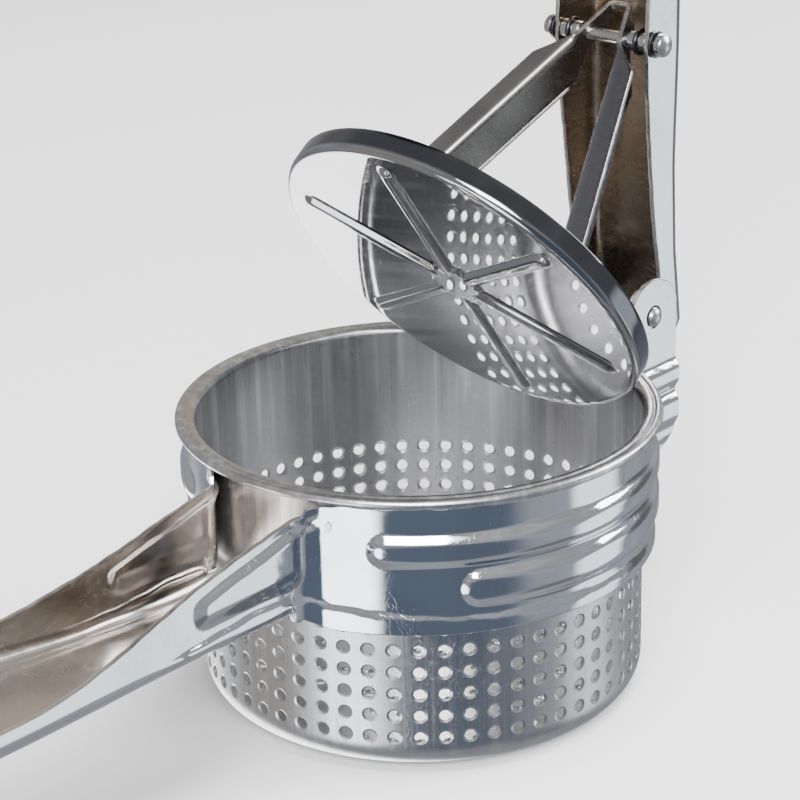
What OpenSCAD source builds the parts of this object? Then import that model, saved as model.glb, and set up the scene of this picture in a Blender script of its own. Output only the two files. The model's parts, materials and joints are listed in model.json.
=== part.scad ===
// Potato ricer: a perforated cup held in a sheet-metal frame with a channel handle, and a hinged
// lever that drives a pressing disc down into the cup.
// Origin: centre of the cup's underside. +X points to the hinge, the handle runs to -X, +Z is up.

/* [Cup] */
// Inner radius of the cup wall
cup_r = 42.8; // [42.5:0.1:43]
// Thickness of the cup's sheet
cup_t = 0.5; // [0.4:0.1:0.6]
// Height of the cup over its rim
cup_h = 56.8; // [56:0.2:60]
// Outside radius of the corner between wall and bottom
cup_corner = 6; // [4:0.5:8]
// Outside radius of the rolled rim
rim_r = 47; // [46.5:0.1:48]
// Height of the rolled rim
rim_h = 1.9; // [1.5:0.1:2.5]
// Diameter of each pressed hole
hole_d = 2.2; // [1.6:0.1:2.6]
// Holes round the wall in one row
wall_holes = 58; // [40:2:60]
// Rows of holes up the wall
wall_rows = 6; // [3:1:6]
// Height of the lowest row
row_z = 7.55; // [7.2:0.05:9]
// Rise from one row to the next
row_pitch = 4.46; // [3.5:0.02:4.6]
// Rings of holes in the bottom
floor_rings = 6; // [3:1:6]
// Distance from one ring to the next
ring_pitch = 5.4; // [4.5:0.1:5.8]

/* [Frame] */
// Thickness of the frame's sheet
sheet_t = 1; // [0.8:0.1:1.2]
// Outside radius of the collar round the cup
collar_r = 45.3; // [45:0.1:46]
// Height of the collar's lower edge
collar_z0 = 29.8; // [28:0.2:32]
// Height of the collar's upper edge
collar_z1 = 54.5; // [53:0.1:54.6]
// Bend radius between the collar and the handle or an ear, at the middle of the sheet
bend_r = 7; // [5:0.5:8]
// Distance from the cup's centre to the handle's end
handle_end = 224; // [180:2:240]
// Half the handle's width at its neck
neck_w = 11.2; // [10:0.2:12]
// Half the handle's width at the grip
grip_w = 15.5; // [13:0.5:17]
// Height of the handle's underside at its neck
handle_z = 32; // [31:0.2:33]
// Half the distance between the ears' inner faces
ear_y = 12; // [11.9:0.1:12.4]
// Radius of the ears' round top
ear_r = 8; // [7:0.2:8.4]

/* [Lever] */
// Height of the lever's free end when it stands open
lever_end = 275; // [240:5:290]
// Half the lever's width at the hinge
lever_w = 11.2; // [11:0.1:11.4]
// Half the lever's width at the grip
lever_grip_w = 14.7; // [13:0.1:16]

/* [Plunger] */
// Radius of the pressing disc
disc_r = 39.3; // [38:0.1:39.4]
// Height of the disc's turned-up edge
disc_h = 5; // [4:0.5:6]
// Thickness of the disc's sheet
disc_t = 1; // [0.8:0.1:1.2]
// Radial ribs pressed into the disc
ribs = 6; // [4:1:8]
// Width of the strap that makes the yoke
strap_w = 9.8; // [9:0.2:11]
// Thickness of the strap
strap_t = 1; // [1:0.1:1.4]
// Half the distance between the yoke's feet
foot_y = 25; // [20:1:28]
// Half the distance between the yoke's legs at the cross pin
leg_y = 5; // [4.5:0.1:5.5]

/* [Pins] */
// Radius of the hinge pin
hinge_pin_r = 2.1; // [1.8:0.1:2.4]
// Radius of the cross pin
cross_pin_r = 1.3; // [1.2:0.1:1.5]
// Radius of the cross pin's round heads
cross_head_r = 2.3; // [2:0.1:2.6]
// Radial clearance where a part turns on a pin
running_gap = 0.05; // [0.02:0.01:0.08]

/* [Mechanism] */
// Hinge axis, forward of the cup's centre
hinge_x = 58.3; // [58.2:0.05:58.4]
// Hinge axis, height
hinge_z = 60.55; // [60.4:0.05:60.7]
// Cross pin, forward of the cup's centre when the lever stands open
pin_x = 58.8; // [58.7:0.05:58.9]
// Cross pin, height when the lever stands open
pin_z = 117.25; // [117.1:0.05:117.4]
// Distance from the disc's face to the cross pin, square to the face
reach = 61; // [60.9:0.05:61.1]
// Offset of the disc's centre from the cross pin, along the face
disc_offset = 3.8; // [3.7:0.05:3.9]
// Tilt of the disc from level when the lever stands open
tilt = 53.5; // [53.3:0.1:53.7]

/* [Hidden] */
$fn = 64;
EPS = 0.01;
cup_out = cup_r + cup_t;
collar_in = collar_r - sheet_t;
collar_mid = collar_r - sheet_t / 2;

// Smooth step from 0 at a to 1 at b
function ease(x, a, b) = let (u = min(1, max(0, (x - a) / (b - a)))) u * u * (3 - 2 * u);
// Points of an arc about (cx, cy) from angle a to angle b
function arc(cx, cy, r, a, b, n = 8) = [for (i = [0:n]) let (t = a + (b - a) * i / n)
    [cx + r * cos(t), cy + r * sin(t)]];

// Side view extruded to a distance w on each side of the middle plane
module across(w) {
    translate([0, w, 0]) rotate([90, 0, 0]) linear_extrude(2 * w) children();
}

// ---- Cup ----
rim_low = cup_h - rim_h;
lip_r = rim_h / 2;

module basket() {
    outline = concat(
        [[0, 0]],
        arc(cup_out - cup_corner, cup_corner, cup_corner, -90, 0),
        [[cup_out, rim_low]],
        arc(rim_r - lip_r, rim_low + lip_r, lip_r, -90, 90),
        arc(cup_r + 1.6, cup_h - 1.6, 1.6, 90, 180),
        arc(cup_r - cup_corner + cup_t, cup_corner, cup_corner - cup_t, 0, -90),
        [[0, cup_t]]);
    color("silver") difference() {
        rotate_extrude() polygon(outline);
        for (row = [0:wall_rows - 1], i = [0:wall_holes - 1])
            rotate([0, 0, 360 * (i + 0.5) / wall_holes])
                translate([cup_r - 2, 0, row_z + row * row_pitch])
                    rotate([0, 90, 0]) cylinder(d = hole_d, h = 4, $fn = 24);
        for (ring = [1:floor_rings], i = [0:6 * ring - 1])
            rotate([0, 0, 60 * i / ring]) translate([ring * ring_pitch, 0, -1])
                cylinder(d = hole_d, h = 2 + cup_t, $fn = 24);
    }
}

// ---- Frame ----
neck_mid = neck_w - sheet_t / 2;
ear_mid = ear_y + sheet_t / 2;
ear_end_x = 66.1;
// Centre of the bend that joins the collar to a wall whose middle lies at y = wall_y
function bend_x(wall_y) = sqrt(pow(collar_mid + bend_r, 2) - pow(wall_y + bend_r, 2));
function bend_angle(wall_y) = atan((wall_y + bend_r) / bend_x(wall_y));
neck_x = bend_x(neck_mid);
ear_x = bend_x(ear_mid);
// Half width of the handle at a distance x behind the cup's centre
function handle_w(x) = neck_w + (grip_w - neck_w) * ease(x, 66, 114);
// Height of the handle's underside at a distance x behind the cup's centre
function handle_low(x) = handle_z + 2.6 * ease(x, 46, 116);
// Height of the side walls' upper edge at a distance x behind the cup's centre
function wall_top(x) = 41 + 12 * (1 - ease(x, 29, 115));
end_r = 14;
wall_steps = [for (i = [0:12]) neck_x + (handle_end - end_r - neck_x) * i / 12];

// Outline of the handle seen from above, drawn in from its outer edge by inset
module handle_plan(inset) {
    far = handle_end - end_r;
    side = [for (x = wall_steps) [-x, handle_w(x) - inset]];
    tip = [for (a = [0:15:90]) [-far - (end_r - inset) * sin(a),
        (grip_w - inset) - (grip_w - inset) * (1 - cos(a))]];
    upper = concat(side, tip);
    polygon(concat(upper, [for (i = [len(upper) - 1:-1:0]) [upper[i][0], -upper[i][1]]]));
}

// Side view of the space between the handle's underside, raised by rise, and a height of top
module handle_side(rise, top) {
    steps = concat(wall_steps, [handle_end + 1]);
    last = len(steps) - 1;
    polygon(concat([for (x = steps) [-x, handle_low(x) + rise]],
        [for (i = [last:-1:0]) [-steps[i], top == 0 ? wall_top(steps[i]) : top]]));
}

// The handle's channel: floor and two walls that get lower towards the grip
module handle() {
    difference() {
        intersection() {
            linear_extrude(80) handle_plan(0);
            across(50) handle_side(0, 0);
        }
        intersection() {
            linear_extrude(80) handle_plan(sheet_t);
            across(50) handle_side(sheet_t, 79);
        }
    }
    // The floor's tongue runs on between the walls to a hollow end that clears the cup
    difference() {
        translate([-neck_x - 1, -neck_w + EPS, handle_z])
            cube([neck_x - 43, 2 * neck_w - 2 * EPS, sheet_t]);
        cylinder(r = 46.6, h = 80, $fn = 128);
    }
}

// Points along one face of the sheet, set off from its middle: ear, bend, collar, bend, handle wall
function band_line(off) = concat(
    [[ear_end_x, ear_mid - off]],
    arc(ear_x, ear_mid + bend_r, bend_r + off, 270, 180 + bend_angle(ear_mid)),
    arc(0, 0, collar_mid - off, bend_angle(ear_mid) + 3, 177 - bend_angle(neck_mid), 40),
    arc(-neck_x, neck_mid + bend_r, bend_r + off, -bend_angle(neck_mid), -90),
    [[-neck_x - 1, neck_mid - off]]);

module band_plan() {
    face = band_line(sheet_t / 2);
    back = band_line(-sheet_t / 2);
    polygon(concat(face, [for (i = [len(back) - 1:-1:0]) back[i]]));
}

// Side view that the collar, its bends and the ears are cut to
module frame_side() {
    polygon(concat(
        [[-neck_x - 2, handle_z], [-46, handle_z], [-42, collar_z0], [ear_x, collar_z0], [60, 30.4],
         [65.4, 32.5], [ear_end_x, 34.5]],
        arc(hinge_x, hinge_z, ear_r, 13, 180, 16),
        [[ear_x, collar_z1], [-41, collar_z1], [-45, 53.2], [-neck_x - 2, wall_top(neck_x + 2)]]));
}

// Raised bead pressed outwards round the collar between two angles from the hinge
module bead(z0, z1, a0, a1) {
    z = (z0 + z1) / 2;
    h = (z1 - z0) / 2;
    rotate([0, 0, a0]) rotate_extrude(angle = a1 - a0)
        translate([collar_r - 0.2, z])
            polygon([[0, -h], [0.7, -h * 0.75], [1.1, -h * 0.4], [1.1, h * 0.4], [0.7, h * 0.75], [0, h]]);
}

module lower_frame() {
    arc_from = bend_angle(ear_mid) + 1;
    arc_to = 179 - bend_angle(neck_mid);
    color("gainsboro") difference() {
        union() {
            handle();
            for (side = [0, 1]) mirror([0, side, 0]) {
                intersection() {
                    linear_extrude(80) band_plan();
                    across(60) frame_side();
                }
                // Lip turned out along the collar's lower edge
                rotate([0, 0, arc_from]) rotate_extrude(angle = arc_to - arc_from, $fn = 128)
                    translate([collar_r - 0.3, collar_z0 + 0.1]) square([0.7, 1.2]);
                bead(43, 49.5, arc_from, 151);
                bead(34.6, 42.3, arc_from, 130);
            }
        }
        translate([hinge_x, 30, hinge_z]) rotate([90, 0, 0]) cylinder(r = hinge_pin_r, h = 60);
    }
}

// ---- Hinge ----
pin_half = ear_y + sheet_t + 0.4;
dome_h = 0.8;

// Rod along Y with a domed end on each side
module domed_rod(r, half, dome) {
    ball = (r * r + dome * dome) / (2 * dome);
    rotate([90, 0, 0]) rotate_extrude() polygon(concat(
        [[0, -half - dome]],
        [for (i = [1:6]) let (y = r * i / 6) [y, -half - (sqrt(ball * ball - y * y) - ball + dome)]],
        [for (i = [6:-1:1]) let (y = r * i / 6) [y, half + (sqrt(ball * ball - y * y) - ball + dome)]],
        [[0, half + dome]]));
}

module hinge_pin() {
    color("lightgray") translate([hinge_x, 0, hinge_z]) domed_rod(hinge_pin_r, pin_half, dome_h);
}

module hinge_washers() {
    color("gray") for (side = [-1, 1])
        translate([hinge_x, side * (ear_y + lever_w) / 2, hinge_z]) rotate([90, 0, 0]) difference() {
            cylinder(r = 4.6, h = 0.5, center = true);
            cylinder(r = hinge_pin_r + running_gap, h = 2, center = true);
        }
}

// ---- Lever ----
web_x = 69.2;
// Half width of the lever at height z
function lever_half(z) = lever_w + 0.5 * ease(z, 88, 120)
    + (lever_grip_w - lever_w - 0.5) * ease(z, 130, 190);
lever_steps = [for (i = [0:14]) 54.6 + (lever_end - 14 - 54.6) * i / 14];

// The lever seen from the front, drawn in from its outer edge by inset
module lever_front(inset, low) {
    far = lever_end - 14;
    side = [for (z = lever_steps) [lever_half(z) - inset, max(z, low)]];
    tip = [for (a = [15:15:90]) [(lever_grip_w - inset) * cos(a), far + (14 - inset) * sin(a)]];
    right = concat(side, tip);
    polygon(concat(right, [for (i = [len(right) - 1:-1:0]) [-right[i][0], right[i][1]]]));
}

// Side view of the lever, with a round lobe about the hinge pin
module lever_side() {
    polygon([[hinge_x, 54.6], [70.6, 54.6], [72, 56.2], [70, 72], [web_x, 90], [web_x, lever_end],
        [59, lever_end], [59, 190], [58.6, 150], [57.2, 127], [56.7, 117], [57.1, 110], [58.2, 100],
        [59.4, 90], [60.6, 80], [62.5, 69], [63, 66], [hinge_x, 66]]);
    translate([hinge_x, hinge_z]) circle(r = 6.5);
}

// Side view of the lever's hollow, one sheet inside the web
module lever_hollow() {
    polygon([[40, 50], [70.9, 50], [70.9, 56.2], [69, 72], [web_x - sheet_t, 90],
        [web_x - sheet_t, lever_end + 1], [40, lever_end + 1]]);
}

module upper_lever() {
    color("gainsboro") difference() {
        intersection() {
            across(30) lever_side();
            translate([100, 0, 0]) rotate([90, 0, -90]) linear_extrude(80) lever_front(0, 0);
        }
        intersection() {
            across(30) lever_hollow();
            translate([100, 0, 0]) rotate([90, 0, -90]) linear_extrude(80) lever_front(sheet_t, 0);
        }
        translate([hinge_x, 30, hinge_z]) rotate([90, 0, 0])
            cylinder(r = hinge_pin_r + running_gap, h = 60);
        translate([pin_x, 30, pin_z]) rotate([90, 0, 0]) cylinder(r = cross_pin_r, h = 60);
    }
}

// ---- Cross pin ----
wall_out = lever_half(pin_z);
wall_in = wall_out - sheet_t;
leg_out = leg_y + 1.1;
clip_t = 0.6;
head_len = 1.9;
bush_gap = 0.1;
bush_len = (wall_in - leg_out - clip_t - 4 * bush_gap) / 2;

module cross_pin() {
    head_at = wall_out + 1.5;
    color("lightgray") translate([pin_x, 0, pin_z]) {
        domed_rod(cross_pin_r, head_at, 0.3);
        for (side = [0, 1]) mirror([0, side, 0]) translate([0, -head_at, 0]) rotate([90, 0, 0])
            rotate_extrude() polygon(concat([[0, -0.2], [cross_head_r, -0.2]],
                arc(cross_head_r - 1, head_len - 1, 1, 0, 90), [[0, head_len]]));
    }
}

// Ring round the cross pin along Y, from y to y + len
module ring(y, len, r, bore) {
    translate([pin_x, y + len, pin_z]) rotate([90, 0, 0]) difference() {
        cylinder(r = r, h = len);
        translate([0, 0, -1]) cylinder(r = bore, h = len + 2);
    }
}

module pin_clips() {
    color("dimgray") for (side = [0, 1]) mirror([0, side, 0]) {
        ring(wall_out + 0.15, clip_t, 2.7, cross_pin_r + 0.02);
        ring(leg_out + bush_len + 2 * bush_gap, clip_t, 2.7, cross_pin_r + 0.02);
    }
}

module pin_bushes() {
    color("silver") for (side = [0, 1]) mirror([0, side, 0]) {
        ring(leg_out + bush_gap, bush_len, 2, cross_pin_r + 0.02);
        ring(wall_in - bush_gap - bush_len, bush_len, 2, cross_pin_r + 0.02);
    }
}

// ---- Plunger ----
// Local frame of the plunger: the disc's face is at z = 0 and the cross pin at z = reach
module plunger_place() {
    translate([pin_x, 0, pin_z]) rotate([0, tilt, 0]) translate([disc_offset, 0, -reach]) children();
}

leg_lean = atan((foot_y - leg_y) / (reach - disc_t));
leg_len = (reach - disc_t) / cos(leg_lean);
pin_edge = 2.2;
strap_low = -disc_offset - pin_edge;
strap_high = strap_low + strap_w;
flange_out = 4.3;
// How far the legs run on above the cross pin
leg_tip = 8;

module disc_profile() {
    r = 1.6;
    polygon(concat([[0, 0]], arc(disc_r - r, r, r, -90, 0, 6), [[disc_r, disc_h]],
        [[disc_r - disc_t, disc_h]], arc(disc_r - r, r, r - disc_t, 0, -90, 4), [[0, disc_t]]));
}

module pressing_disc() {
    rib_r = 1.5;
    rib_in = 5;
    rib_out = 33;
    color("gainsboro") plunger_place() {
        rotate_extrude($fn = 128) disc_profile();
        for (i = [0:ribs - 1]) rotate([0, 0, 360 * i / ribs]) intersection() {
            translate([0, 0, 0.4]) union() {
                translate([rib_in, 0, 0]) rotate([0, 90, 0]) cylinder(r = rib_r, h = rib_out - rib_in);
                translate([rib_out, 0, 0]) sphere(r = rib_r);
            }
            translate([0, -5, -3]) cube([50, 10, 3.5]);
        }
    }
}

// Cross-section of a leg: strap across x, with a flange turned outwards at its handle side
module leg_section() {
    polygon([[strap_low, -strap_t], [strap_high, -strap_t], [strap_high, 0], [strap_low + strap_t, 0],
        [strap_low + strap_t, flange_out], [strap_low, flange_out]]);
}

// Slope that takes the flange away below the cross pin, to clear the lever's walls
module flange_cut() {
    cut_start = -10.5;
    cut_end = -3;
    translate([strap_low - 1, 0, 0]) rotate([90, 0, 90]) linear_extrude(strap_t + 2)
        polygon([[0, cut_end], [flange_out + 1, cut_start - 1.7], [flange_out + 1, leg_tip + 1], [0, leg_tip + 1]]);
}

// Side view of what is cut away at the top: a slope down to the pin, then a narrow tip
module leg_cut() {
    inner = -disc_offset + pin_edge + 0.4;
    polygon([[-disc_offset - 1.6, leg_tip + 1], [-disc_offset - 1.6, leg_tip - 0.6], [inner, 3],
        [inner, -1.5], [strap_high + 1, -9], [strap_high + 1, leg_tip + 1]]);
}

module leg() {
    // Leg from its foot up past the pin
    intersection() {
        translate([0, foot_y, disc_t]) rotate([leg_lean, 0, 0]) difference() {
            linear_extrude(leg_len + leg_tip) leg_section();
            translate([0, 0, leg_len]) {
                across(10) leg_cut();
                flange_cut();
            }
        }
        translate([-50, -50, disc_t + 0.3]) cube(200);
    }
    // Foot lying on the disc's back
    translate([strap_low - 0.4, foot_y - 1.6, disc_t]) cube([strap_w + 0.8, 8.5, strap_t]);
}

module yoke() {
    bridge_z = reach + leg_tip - 2;
    bridge_y = leg_y - (bridge_z - reach) * tan(leg_lean);
    color("lightgray") plunger_place() difference() {
        union() {
            for (side = [0, 1]) mirror([0, side, 0]) leg();
            // The strap's narrow neck, bent over between the tops of the legs
            translate([strap_low, -bridge_y, bridge_z]) cube([1.5, 2 * bridge_y, strap_t]);
        }
        translate([-disc_offset, 30, reach]) rotate([90, 0, 0])
            cylinder(r = cross_pin_r + running_gap, h = 60);
    }
}

basket();
lower_frame();
hinge_pin();
hinge_washers();
upper_lever();
cross_pin();
pin_clips();
pin_bushes();
yoke();
pressing_disc();
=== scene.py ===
"""The looks of a hand-held potato ricer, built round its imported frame. Sizes are in millimetres
until a mesh is made, and the shaders and lamps are in metres."""

import json

import bmesh
import bpy
import numpy as np
from mathutils import Matrix, Vector
from mathutils.geometry import delaunay_2d_cdt


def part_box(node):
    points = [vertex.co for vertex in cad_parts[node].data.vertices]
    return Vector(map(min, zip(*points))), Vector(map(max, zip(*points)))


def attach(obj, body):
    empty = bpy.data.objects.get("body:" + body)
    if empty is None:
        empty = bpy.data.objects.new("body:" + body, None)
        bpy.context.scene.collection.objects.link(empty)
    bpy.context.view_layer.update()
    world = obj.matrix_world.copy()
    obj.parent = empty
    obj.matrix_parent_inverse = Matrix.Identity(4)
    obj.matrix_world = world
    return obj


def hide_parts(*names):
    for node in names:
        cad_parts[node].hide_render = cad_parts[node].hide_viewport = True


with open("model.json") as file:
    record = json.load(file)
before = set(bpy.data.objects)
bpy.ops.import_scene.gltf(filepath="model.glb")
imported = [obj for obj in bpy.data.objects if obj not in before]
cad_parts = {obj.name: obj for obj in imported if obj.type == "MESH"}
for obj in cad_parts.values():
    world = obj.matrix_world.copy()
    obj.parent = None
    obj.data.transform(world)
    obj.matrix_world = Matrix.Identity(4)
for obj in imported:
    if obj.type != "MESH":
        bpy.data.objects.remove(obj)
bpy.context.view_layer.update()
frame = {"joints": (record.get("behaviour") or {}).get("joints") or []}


# ---- Cup ------------------------------------------------------------------------------------
# A cup drawn from thin stainless sheet, punched with round holes in its bottom and lower wall.
# Its flat rim is rolled with a shallow groove and rests on top of the collar, so it can turn.

MM = 0.001
cup_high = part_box("basket")[1]
RIM_R = cup_high.x / MM
CUP_TOP = cup_high.z / MM
CUP_IN = 42.8
CUP_SHEET = 0.5
CUP_OUT = CUP_IN + CUP_SHEET
CUP_CORNER = 6.0
RIM_THICK = 1.9
HOLE_R = 1.1
HOLES_ROUND = 58
HOLE_ROWS = 6
FIRST_ROW = 7.55
ROW_PITCH = 4.46
RING_PITCH = 5.4
FLOOR_RINGS = 6
FLOOR_LIP = 0.25
GROOVE_R = 45.3
GROOVE_HALF = 0.6
GROOVE_DEEP = 0.3
BLEND_R = 0.6
MOUTH_R = 1.6
WALL_LEVELS = (38, 46)


def quads(rows, cols, wrap=False):
    """Faces of a grid numbered row by row: each joins a point, its neighbour along the row and
    the two under them. A wrapped grid also joins its last column to its first."""
    i = np.arange(rows - 1)[:, None]
    j = np.arange(cols if wrap else cols - 1)[None, :]
    k = (j + 1) % cols
    here, below = i * cols, (i + 1) * cols
    return np.stack([here + j, here + k, below + k, below + j], axis=-1).reshape(-1, 4)


def turned(profile, angles):
    """A skin of revolution: each radius and height of the profile is carried round the upright
    axis through the given angles."""
    radius = profile[:, 0][:, None]
    height = profile[:, 1][:, None] + 0 * angles
    points = np.stack([radius * np.cos(angles), radius * np.sin(angles), height], axis=-1)
    return points, quads(len(profile), len(angles), wrap=True)


def bow(cx, cy, radius, start, end, steps):
    """Points on an arc: the centre plus the radius times the cosine and sine of evenly spaced
    angles, given in degrees."""
    angle = np.radians(np.linspace(start, end, steps + 1))
    return np.stack([cx + radius * np.cos(angle), cy + radius * np.sin(angle)], axis=-1)


def mesh_of(name, sheets, closed=True):
    """One mesh in metres from sheets of points and faces: the sheets are numbered on from each
    other, points that coincide are joined, and a closed skin is turned to face outwards."""
    points = np.concatenate([p.reshape(-1, 3) for p, _ in sheets]) * MM
    starts = np.cumsum([0] + [p.size // 3 for p, _ in sheets])
    faces = []
    for (_, corners), start in zip(sheets, starts):
        faces.extend((np.asarray(corners) + start).tolist())
    mesh = bpy.data.meshes.new(name)
    mesh.from_pydata(points.tolist(), [], faces)
    work = bmesh.new()
    work.from_mesh(mesh)
    bmesh.ops.remove_doubles(work, verts=work.verts, dist=0.003 * MM)
    bmesh.ops.dissolve_degenerate(work, edges=work.edges, dist=0.001 * MM)
    if closed:
        bmesh.ops.recalc_face_normals(work, faces=work.faces)
    work.to_mesh(mesh)
    work.free()
    return mesh


def fit(name, mesh, body, nodes, materials, crease=35):
    """Puts a finished mesh in the scene: smooth but for its creases, with its materials, riding
    on its body and standing for its CAD node."""
    piece = bpy.data.objects.new(name, mesh)
    bpy.context.scene.collection.objects.link(piece)
    mesh.shade_smooth()
    mesh.set_sharp_from_angle(angle=np.radians(crease))
    for place, material in enumerate(materials):
        if place < len(mesh.materials):
            mesh.materials[place] = material
        else:
            mesh.materials.append(material)
    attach(piece, body)
    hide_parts(*nodes)
    return piece


def punched_wall(rows):
    """The wall's holes, one square cell each: six rings of twelve points that go from the cell's
    border to the hole's lip and edge on the outside, and back again on the inside."""
    turn = np.radians(15 + 30 * np.arange(12))
    across, up = np.cos(turn), np.sin(turn)
    square = np.maximum(abs(across), abs(up))
    half = np.pi / HOLES_ROUND
    low = np.minimum(ROW_PITCH / 2, rows - CUP_CORNER)
    centre = 2 * half * (np.arange(HOLES_ROUND) + 0.5)
    angles, heights, radii = [], [], []
    for ring, depth in ((0, 0), (1.5, 0), (HOLE_R, 0.14), (HOLE_R, 0.34), (1.6, 0.5), (0, 0.5)):
        if ring:
            angle = ring * across / (CUP_OUT - depth)
            height = np.tile(ring * up, (len(rows), 1))
        else:
            angle = half * across / square
            reach = np.where(up > 0, ROW_PITCH / 2, low[:, None])
            height = reach * up / square
        angles.append(np.broadcast_to(centre[None, :, None] + angle, (len(rows), HOLES_ROUND, 12)))
        heights.append(np.broadcast_to((rows[:, None] + height)[:, None], angles[-1].shape))
        radii.append(np.full(angles[-1].shape, CUP_OUT - depth))
    angle, height, radius = (np.stack(a, axis=2) for a in (angles, heights, radii))
    points = np.stack([radius * np.cos(angle), radius * np.sin(angle), height], axis=-1)
    cell = quads(6, 12, wrap=True)
    cells = len(rows) * HOLES_ROUND
    faces = cell[None] + 72 * np.arange(cells)[:, None, None]
    return points, faces.reshape(-1, 4)


def punched_floor(edge, angles):
    """The flat bottom: both faces are cut into triangles between the round edge and the rings of
    holes, and each hole has a wall with a lip at both ends."""
    ring = np.repeat(np.arange(1, FLOOR_RINGS + 1), 6 * np.arange(1, FLOOR_RINGS + 1))
    step = np.concatenate([np.arange(6 * k) for k in range(1, FLOOR_RINGS + 1)])
    turn = np.radians(60 * step / ring)
    centres = RING_PITCH * np.stack([ring * np.cos(turn), ring * np.sin(turn)], axis=-1)
    lap = np.radians(30 * np.arange(12))
    circle = np.stack([np.cos(lap), np.sin(lap)], axis=-1)
    mouth = HOLE_R + FLOOR_LIP
    loops = centres[:, None] + mouth * circle
    outline = edge * np.stack([np.cos(angles), np.sin(angles)], axis=-1)
    flat = np.concatenate([outline, loops.reshape(-1, 2)])
    around = np.arange(len(outline))
    edges = [np.stack([around, (around + 1) % len(outline)], axis=-1)]
    spots = len(outline) + 12 * np.arange(len(centres))[:, None] + np.arange(12)
    edges.append(np.stack([spots, np.roll(spots, -1, axis=1)], axis=-1).reshape(-1, 2))
    cut = delaunay_2d_cdt([Vector(p) for p in flat], np.concatenate(edges).tolist(), [], 0, 1e-5)
    corners = np.array([tuple(p) for p in cut[0]])
    triangles = np.array(cut[2])
    middle = corners[triangles].mean(axis=1)
    gap = np.linalg.norm(middle[:, None] - centres[None], axis=-1).min(axis=1)
    triangles = triangles[gap > mouth * 0.94]
    sheets = []
    for level in (0.0, CUP_SHEET):
        sheets.append((np.column_stack([corners, np.full(len(corners), level)]), triangles))
    rings = []
    for radius, level in ((mouth, 0.0), (HOLE_R, 0.12), (HOLE_R, 0.38), (mouth, CUP_SHEET)):
        spot = centres[:, None] + radius * circle
        rings.append(np.concatenate([spot, np.full((len(centres), 12, 1), level)], axis=-1))
    wall = np.stack(rings, axis=1)
    faces = quads(4, 12, wrap=True)[None] + 48 * np.arange(len(centres))[:, None, None]
    sheets.append((wall, faces.reshape(-1, 4)))
    return sheets


class Wire:
    """One socket among a material's nodes. Arithmetic on wires and numbers adds Math nodes."""

    def __init__(self, tree, socket=None):
        self.tree = tree
        self.socket = socket

    def node(self, kind, settings, sockets, out=0):
        """Adds a node of a kind, makes its settings first, then sets or links its sockets."""
        added = self.tree.nodes.new(kind)
        for key, value in settings.items():
            if key == "stops":
                stops = added.color_ramp.elements
                stops.remove(stops[1])
                stops[0].position, stops[0].color = value[0]
                for place, colour in value[1:]:
                    stops.new(place).color = colour
            else:
                setattr(added, key, value)
        for key, value in sockets.items():
            if isinstance(value, Wire):
                self.tree.links.new(value.socket, added.inputs[key])
            else:
                added.inputs[key].default_value = value
        return Wire(self.tree, added.outputs[out])

    def maths(self, operation, a, b, clamp=False):
        settings = {"operation": operation, "use_clamp": clamp}
        return self.node("ShaderNodeMath", settings, {0: a, 1: b})

    def __add__(self, other):
        return self.maths("ADD", self, other)

    def __sub__(self, other):
        return self.maths("SUBTRACT", self, other)

    def __mul__(self, other):
        return self.maths("MULTIPLY", self, other)

    def __rsub__(self, other):
        return self.maths("SUBTRACT", other, self)

    __radd__ = __add__
    __rmul__ = __mul__

    def size(self):
        return self.maths("ABSOLUTE", self, 0)

    def between(self, low, high):
        """Goes from 0 to 1 as this value goes from low to high."""
        settings = {"interpolation_type": "SMOOTHSTEP"}
        sockets = {"Value": self, "From Min": low, "From Max": high}
        return self.node("ShaderNodeMapRange", settings, sockets)

    def stretched(self, x, y, z):
        return self.node("ShaderNodeVectorMath", {"operation": "MULTIPLY"}, {0: self, 1: (x, y, z)})

    def noise(self, scale, detail=2.0, bend=0.0):
        sockets = {"Vector": self, "Scale": scale, "Detail": detail, "Distortion": bend}
        return self.node("ShaderNodeTexNoise", {}, sockets)

    def mixed(self, first, second):
        """Blends two colours, with this value as the share of the second."""
        return self.node("ShaderNodeMix", {"data_type": "RGBA"}, {0: self, 6: first, 7: second}, 2)


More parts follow.
